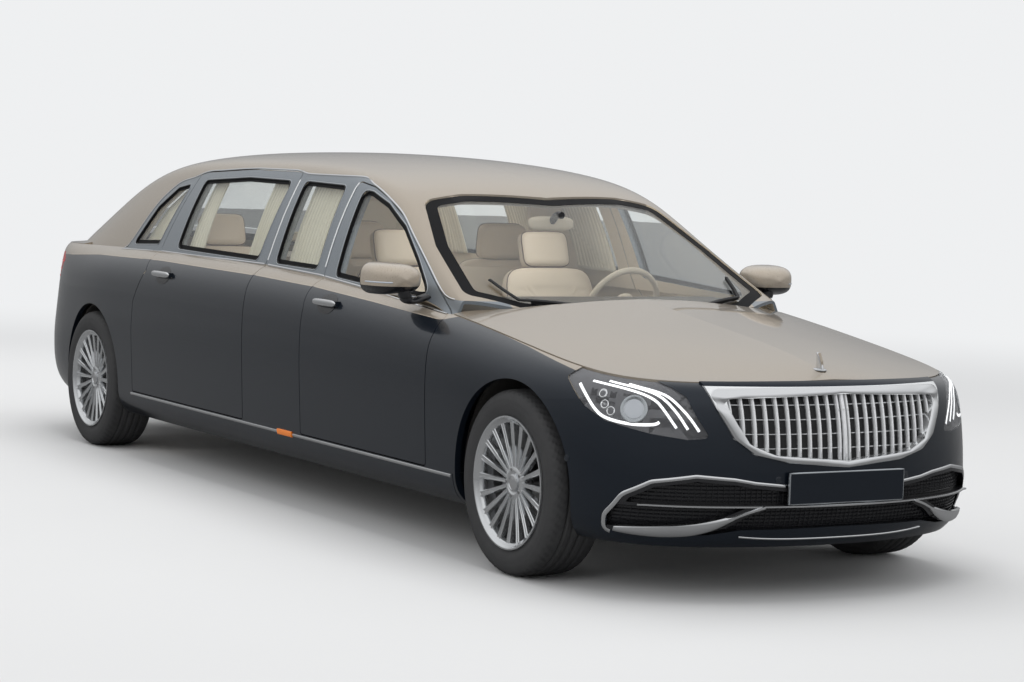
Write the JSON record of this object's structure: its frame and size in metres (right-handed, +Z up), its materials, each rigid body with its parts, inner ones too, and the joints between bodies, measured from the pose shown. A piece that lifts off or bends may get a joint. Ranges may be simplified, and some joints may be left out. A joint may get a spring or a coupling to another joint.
{
  "type": "stretch limousine",
  "caption": "Long luxury saloon body with opening doors, bonnet and boot lid, upright vaned radiator grille, steered front wheels and a curtained rear cabin",
  "frame": {"origin": "ground level below the middle of the car's box", "axes": "+X towards the nose, +Y to the car's left, +Z up"},
  "size_m": [6.5006, 2.131, 1.5996],
  "materials": {
    "two_tone_body": "gloss metallic, lighter above the coachline",
    "dark_paint": "gloss metallic",
    "light_paint": "gloss metallic",
    "clear_glass": "clear",
    "lamp_lens": "clear",
    "lamp_bowl": "satin",
    "red_lamp": "gloss",
    "bright_trim": "polished",
    "polished_alloy": "polished",
    "tread": "matt",
    "black_steel": "matt",
    "engine_metal": "matt",
    "pipe_metal": "brushed",
    "black_plastic": "matt",
    "seat_leather": "soft",
    "trim_leather": "soft",
    "curtain_cloth": "soft"
  },
  "bodies": {
    "car_body": {"side_panel_right": "two_tone_body", "side_panel_left": "two_tone_body", "sills": "dark_paint", "radiator_grille": "bright_trim", "intake_grilles": "bright_trim", "headlamp_lenses": "lamp_lens", "headlamps": "lamp_bowl", "tail_lamps": "red_lamp", "front_wing_right": "two_tone_body", "front_wing_left": "two_tone_body", "front_bumper": "dark_paint", "rear_bumper": "dark_paint", "rear_quarter_right": "two_tone_body", "rear_quarter_left": "two_tone_body", "roof_shell": "light_paint", "windscreen": "clear_glass", "rear_window": "clear_glass", "fixed_side_glass": "clear_glass", "front_subframe": "black_steel", "rear_axle": "black_steel", "engine": "engine_metal", "exhaust": "pipe_metal", "floor_pan": "black_steel", "bulkhead": "black_steel", "boot_tub": "black_plastic", "arch_liners": "black_plastic", "front_seats": "seat_leather", "facing_seats": "seat_leather", "rear_seats": "seat_leather", "partition": "trim_leather", "dashboard": "trim_leather", "curtains": "curtain_cloth"},
    "hood_lid": {"hood": "light_paint"},
    "boot_lid_body": {"boot_lid": "dark_paint"},
    "front_door_right": {"door_front_right": "two_tone_body", "glass_door_front_right": "clear_glass", "mirror_right": "light_paint"},
    "front_door_left": {"door_front_left": "two_tone_body", "glass_door_front_left": "clear_glass", "mirror_left": "light_paint"},
    "rear_door_right": {"door_rear_right": "two_tone_body", "glass_door_rear_right": "clear_glass", "curtains_door_right": "curtain_cloth"},
    "rear_door_left": {"door_rear_left": "two_tone_body", "glass_door_rear_left": "clear_glass", "curtains_door_left": "curtain_cloth"},
    "steering": {"steering_wheel": "trim_leather"},
    "upright_right": {"knuckle_right": "black_steel"},
    "upright_left": {"knuckle_left": "black_steel"},
    "wheel_front_right": {"rim_front_right": "polished_alloy", "tyre_front_right": "tread"},
    "wheel_front_left": {"rim_front_left": "polished_alloy", "tyre_front_left": "tread"},
    "wheel_rear_right": {"rim_rear_right": "polished_alloy", "tyre_rear_right": "tread"},
    "wheel_rear_left": {"rim_rear_left": "polished_alloy", "tyre_rear_left": "tread"}
  },
  "joints": [
    {"name": "hood_hinge", "type": "hinge", "parent": "car_body", "child": "hood_lid", "pos_m": [1.7, 0, 1.03], "axis": [0, -1, 0], "range_deg": [0, 45]},
    {"name": "boot_hinge", "type": "hinge", "parent": "car_body", "child": "boot_lid_body", "pos_m": [-2.74, 0, 1.16], "axis": [0, 1, 0], "range_deg": [0, 70]},
    {"name": "front_door_right_hinge", "type": "hinge", "parent": "car_body", "child": "front_door_right", "pos_m": [1.7075, -0.9495, 0.7], "axis": [0, 0, 1], "range_deg": [0, 65]},
    {"name": "front_door_left_hinge", "type": "hinge", "parent": "car_body", "child": "front_door_left", "pos_m": [1.7075, 0.9495, 0.7], "axis": [0, 0, -1], "range_deg": [0, 65]},
    {"name": "rear_door_right_hinge", "type": "hinge", "parent": "car_body", "child": "rear_door_right", "pos_m": [-0.0895, -0.9495, 0.7], "axis": [0, 0, 1], "range_deg": [0, 65]},
    {"name": "rear_door_left_hinge", "type": "hinge", "parent": "car_body", "child": "rear_door_left", "pos_m": [-0.0895, 0.9495, 0.7], "axis": [0, 0, -1], "range_deg": [0, 65]},
    {"name": "steer_left", "type": "hinge", "parent": "car_body", "child": "upright_left", "pos_m": [2.3485, 0.75, 0.358], "axis": [0, 0, 1], "range_deg": [-35, 35]},
    {"name": "steer_right", "type": "hinge", "parent": "car_body", "child": "upright_right", "pos_m": [2.3485, -0.75, 0.358], "axis": [0, 0, 1], "range_deg": [-35, 35]},
    {"name": "steering_turn", "type": "hinge", "parent": "car_body", "child": "steering", "pos_m": [1.0695, 0.39, 0.95], "axis": [-0.9063, 0, 0.4226], "range_deg": [-480, 480]},
    {"name": "spin_front_right", "type": "hinge", "parent": "upright_right", "child": "wheel_front_right", "pos_m": [2.3485, -0.812, 0.358], "axis": [0, 1, 0], "continuous": true},
    {"name": "spin_front_left", "type": "hinge", "parent": "upright_left", "child": "wheel_front_left", "pos_m": [2.3485, 0.812, 0.358], "axis": [0, 1, 0], "continuous": true},
    {"name": "spin_rear_right", "type": "hinge", "parent": "car_body", "child": "wheel_rear_right", "pos_m": [-2.0695, -0.8185, 0.358], "axis": [0, 1, 0], "continuous": true},
    {"name": "spin_rear_left", "type": "hinge", "parent": "car_body", "child": "wheel_rear_left", "pos_m": [-2.0695, 0.8185, 0.358], "axis": [0, 1, 0], "continuous": true}
  ],
  "couplings": [
    {"joint": "steer_right", "follows": "steer_left", "ratio": 1},
    {"joint": "steering_turn", "follows": "steer_left", "ratio": 13.7}
  ]
}
